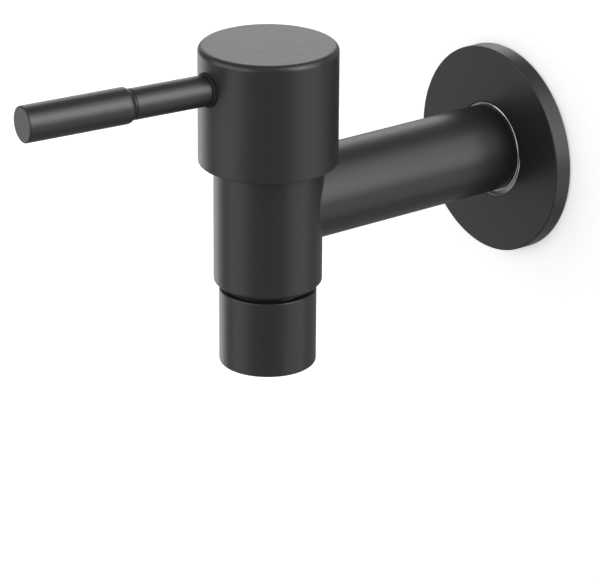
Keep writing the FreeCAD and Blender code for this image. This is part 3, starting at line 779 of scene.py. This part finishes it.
cap = {
    **packed("handle_cap", onHandle),
    "topEdge": 1.6,
    "footEdge": 0.5,
    "bore": 15.4,
    "boreEdge": 0.2,
    "ceiling": 28.9,
    "ceilingEdge": 0.5,
    "insertTop": 40.2,
    "socket": 4.88,
    "socketFloor": 17.4,
    "studHole": 3.05,
    "studHoleDepth": 9.2,
    "screwHole": 2.55,
    "leverLevel": 36.4,
    "screwLevel": 33.9,
}
onLever = onHandle @ Matrix.Translation((0, 0, cap["leverLevel"] * mm)) @ outOfCap


def makeCap():
    c = cap
    outline = [
        (0, c["insertTop"]),
        (c["hole"], c["insertTop"]),
        (c["hole"], c["ceiling"]),
        (c["bore"], c["ceiling"], c["ceilingEdge"]),
        (c["bore"], c["bottom"], c["boreEdge"]),
        (c["radius"], c["bottom"], c["footEdge"]),
        (c["radius"], c["top"], c["topEdge"]),
        (0, c["top"]),
    ]
    piece = turnOnLathe("handleCap", softOutline(outline))
    toLever = Matrix.Translation((0, 0, c["leverLevel"])) @ outOfCap
    toScrew = Matrix.Translation((0, 0, c["screwLevel"])) @ onWall
    fromSocket = toLever @ Matrix.Translation((0, 0, c["socketFloor"]))
    fromStud = toLever @ Matrix.Translation((0, 0, c["socketFloor"] - c["studHoleDepth"]))
    carve(piece, [
        rod("socketCutter", c["socket"], c["radius"], fromSocket),
        rod("studCutter", c["studHole"], c["radius"], fromStud),
        rod("screwCutter", c["screwHole"], 2 * c["radius"], toScrew),
    ])
    settle(piece, "handle_cap", onHandle)


lever = {  # its ends are measured from the barrel's axis, and its radius is the grip's
    **packed("lever", onLever),
    "crest": 3.0,  # M6 stud
    "pitch": 1.0,
    "depth": 0.613,
    "flat": 0.12,
    "threadRings": 84,
    "runOut": 0.05,
    "studChamfer": 0.5,
    "shoulder": cap["socketFloor"],
    "rod": 4.28,
    "rodEnd": 42.15,
    "rodEdge": 0.2,
    "groove": 4.05,
    "grooveEnd": 42.5,
    "gripStart": 44.4,
    "gripLead": 0.1,
    "gripEdge": 0.35,
    "sweepSteps": 10,
    "sides": 128,
}


def makeLever():
    v = lever
    # an arc sweeps from the groove's floor up to the grip
    rise, run = v["radius"] - v["groove"], v["gripStart"] - v["grooveEnd"]
    arc = (rise ** 2 + run ** 2) / (2 * rise)
    sweep = math.asin(run / arc)
    turns = [sweep * (1 - i / v["sweepSteps"]) for i in range(1, v["sweepSteps"])]
    first, last = (v["crest"], v["bottom"] + v["studChamfer"]), (v["crest"], v["shoulder"])
    outline = [
        (0, v["bottom"]),
        (v["crest"] - v["studChamfer"], v["bottom"]),
        first,
        *fineRun(first, last, v["threadRings"]),
        last,
        (v["rod"], v["shoulder"]),
        (v["rod"], v["rodEnd"], v["rodEdge"]),
        (v["groove"], v["rodEnd"]),
        (v["groove"], v["grooveEnd"]),
        *[(v["radius"] - arc * (1 - math.cos(a)), v["gripStart"] - arc * math.sin(a)) for a in turns],
        (v["radius"], v["gripStart"]),
        (v["radius"], v["gripStart"] + v["gripLead"]),
        (v["radius"], v["top"], v["gripEdge"]),
        (0, v["top"]),
    ]
    piece = turnOnLathe("sideLever", softOutline(outline), v["sides"])
    cutThread(piece, "lever", v, v["bottom"], v["shoulder"] - v["runOut"])
    softSpan = (v["bottom"] + v["studChamfer"] + threadMargin, v["shoulder"] - threadMargin)
    settle(piece, "lever", onLever, softSpan=softSpan)


rootRing = {
    **packed("lever_ring", onLever),
    "short": 0.3,  # it shows this much less than the solid, pressed into the socket
    "outerEdge": 0.22,
    "innerEdge": 0.12,
    "sides": 128,
}


def makeRootRing():
    r = rootRing
    end = r["top"] - r["short"]
    outline = [
        (r["hole"], r["bottom"]),
        (r["radius"], r["bottom"]),
        (r["radius"], end, r["outerEdge"]),
        (r["hole"], end, r["innerEdge"]),
    ]
    piece = turnOnLathe("leverRootRing", softOutline(outline), r["sides"])
    settle(piece, "lever_ring", onLever)


makeCap()
makeLever()
makeRootRing()
print("handle made")


# Outlet: the screwed collar, and the woven screens of the aerator inside it

collar = {
    **packed("outlet_collar", onBarrel),
    "bore": 12.05,
    "boreEdge": 0.2,
    "shelf": 11.05,
    "mouthEdge": 0.3,
    "cageShelf": -34.2,
    "mouthTop": -44.6,
    "topEdge": 0.4,
    "footEdge": 0.6,
}


def makeCollar():
    c = collar
    outline = [
        (c["bore"], c["top"], c["boreEdge"]),
        (c["radius"], c["top"], c["topEdge"]),
        (c["radius"], c["bottom"], c["footEdge"]),
        (c["hole"], c["bottom"], c["mouthEdge"]),
        (c["hole"], c["mouthTop"]),
        (c["shelf"], c["mouthTop"]),
        (c["shelf"], c["cageShelf"]),
        (c["bore"], c["cageShelf"]),
    ]
    piece = turnOnLathe("outletCollar", softOutline(outline))
    settle(piece, "outlet_collar", onBarrel)


def wovenGroup():  # round screens of plain weave, stacked down the axis and each turned from the last
    group = newGroup("wovenScreens", [
        ("Spacing", "Float", 0.8),
        ("Wires", "Int", 25),
        ("Wire Radius", "Float", 0.1),
        ("Wire Sides", "Int", 6),
        ("Wave", "Float", 0.1),
        ("Wave Steps", "Int", 99),
        ("Screen Radius", "Float", 10.0),
        ("Top Level", "Float", 0.0),
        ("Screens", "Int", 2),
        ("Screen Gap", "Float", 1.5),
        ("Turn", "Float", 0.4),
        ("Material", "Material", None),
    ])
    given = addNode(group, "NodeGroupInput").outputs
    radius, spacing = given["Screen Radius"], given["Spacing"]
    # straight wires along X, side by side along Y
    wireEnd = addNode(group, "ShaderNodeCombineXYZ", [radius])
    wireStart = addNode(group, "ShaderNodeVectorMath", [wireEnd, (-1, 0, 0)], operation="MULTIPLY")
    straight = addNode(group, "GeometryNodeCurvePrimitiveLine", [wireStart, wireEnd])
    fine = addNode(group, "GeometryNodeResampleCurve", {"Curve": straight, "Count": given["Wave Steps"]})
    gaps = addNode(group, "ShaderNodeMath", [given["Wires"], 1.0], operation="SUBTRACT")
    width = addNode(group, "ShaderNodeMath", [gaps, spacing], operation="MULTIPLY")
    firstY = addNode(group, "ShaderNodeMath", [width, -0.5], operation="MULTIPLY")
    rowStart = addNode(group, "ShaderNodeCombineXYZ", {"Y": firstY})
    rowStep = addNode(group, "ShaderNodeCombineXYZ", {"Y": spacing})
    feeds = {"Count": given["Wires"], "Start Location": rowStart, "Offset": rowStep}
    row = addNode(group, "GeometryNodeMeshLine", feeds)
    laid = addNode(group, "GeometryNodeInstanceOnPoints", {"Points": row, "Instance": fine})
    wires = addNode(group, "GeometryNodeRealizeInstances", [laid])
    # each wire is shortened to the circle, and then waves over and under the ones that cross it
    place = addNode(group, "GeometryNodeInputPosition")
    x, y = addNode(group, "ShaderNodeSeparateXYZ", [place]).outputs[:2]
    out = addNode(group, "ShaderNodeMath", [y, radius], operation="DIVIDE")
    square = addNode(group, "ShaderNodeMath", [out, out], operation="MULTIPLY")
    left = addNode(group, "ShaderNodeMath", [1.0, square], operation="SUBTRACT")
    reach = addNode(group, "ShaderNodeMath", [left], operation="SQRT")
    along = addNode(group, "ShaderNodeMath", [x, reach], operation="MULTIPLY")
    swings = []
    for part in (along, y):
        cell = addNode(group, "ShaderNodeMath", [part, spacing], operation="DIVIDE")
        angle = addNode(group, "ShaderNodeMath", [cell, math.pi], operation="MULTIPLY")
        swings.append(addNode(group, "ShaderNodeMath", [angle], operation="COSINE"))
    wave = addNode(group, "ShaderNodeMath", swings, operation="MULTIPLY")
    lift = addNode(group, "ShaderNodeMath", [wave, given["Wave"]], operation="MULTIPLY")
    spot = addNode(group, "ShaderNodeCombineXYZ", [along, y, lift])
    warp = addNode(group, "GeometryNodeSetPosition", {"Geometry": wires, "Position": spot})
    # the same wires a quarter turn round and upside down cross them, and all get their thickness
    feeds = {"Geometry": warp, "Rotation": (0, 0, math.pi / 2), "Scale": (1, 1, -1)}
    weft = addNode(group, "GeometryNodeTransform", feeds)
    cloth = addNode(group, "GeometryNodeJoinGeometry", [warp])
    group.links.new(weft.outputs[0], cloth.inputs[0])
    feeds = {"Resolution": given["Wire Sides"], "Radius": given["Wire Radius"]}
    section = addNode(group, "GeometryNodeCurvePrimitiveCircle", feeds)
    feeds = {"Curve": cloth, "Profile Curve": section, "Fill Caps": True}
    screen = addNode(group, "GeometryNodeCurveToMesh", feeds)
    # the stack
    top = addNode(group, "ShaderNodeCombineXYZ", {"Z": given["Top Level"]})
    down = addNode(group, "ShaderNodeMath", [given["Screen Gap"], -1.0], operation="MULTIPLY")
    drop = addNode(group, "ShaderNodeCombineXYZ", {"Z": down})
    feeds = {"Count": given["Screens"], "Start Location": top, "Offset": drop}
    levels = addNode(group, "GeometryNodeMeshLine", feeds)
    number = addNode(group, "GeometryNodeInputIndex")
    angle = addNode(group, "ShaderNodeMath", [number, given["Turn"]], operation="MULTIPLY")
    turn = addNode(group, "ShaderNodeCombineXYZ", {"Z": angle})
    feeds = {"Points": levels, "Instance": screen, "Rotation": turn}
    stack = addNode(group, "GeometryNodeInstanceOnPoints", feeds)
    return closeGroup(group, stack, given["Material"])


screens = {
    "radius": 9.8,
    "wire": 0.095,  # 0.19 mm wire, 32 to the inch
    "wireSides": 6,
    "spacing": 0.8,
    "wave": 0.1,
    "stepsPerWave": 8,
    "topLevel": -38.05,
    "gap": 1.5,
    "count": 2,
    "turn": 27,  # degrees from each screen to the next
    "crisp": 75,  # only the cut ends of the wires stay crisp
}


def makeScreens():
    w = screens
    piece = putIn("wovenScreens", bpy.data.meshes.new("wovenScreens"))
    applyGroup(piece, wovenGroup(), {
        "Spacing": w["spacing"],
        "Wires": 2 * int(w["radius"] / w["spacing"]) + 1,
        "Wire Radius": w["wire"],
        "Wire Sides": w["wireSides"],
        "Wave": w["wave"],
        "Wave Steps": int(w["radius"] / w["spacing"] * w["stepsPerWave"]) + 1,
        "Screen Radius": w["radius"],
        "Top Level": w["topLevel"],
        "Screens": w["count"],
        "Screen Gap": w["gap"],
        "Turn": math.radians(w["turn"]),
        "Material": finishOf("mesh_screens"),
    })
    settle(piece, "mesh_screens", onBarrel, w["crisp"])


makeCollar()
makeScreens()
print("outlet made")

for name, node in nodes.items():  # what stays as it was packed gets its slot's finish, or its own
    node.data.materials.clear()
    node.data.materials.append(finishOf(name))
print("carried over:", sum(not node.hide_render for node in nodes.values()), "nodes")
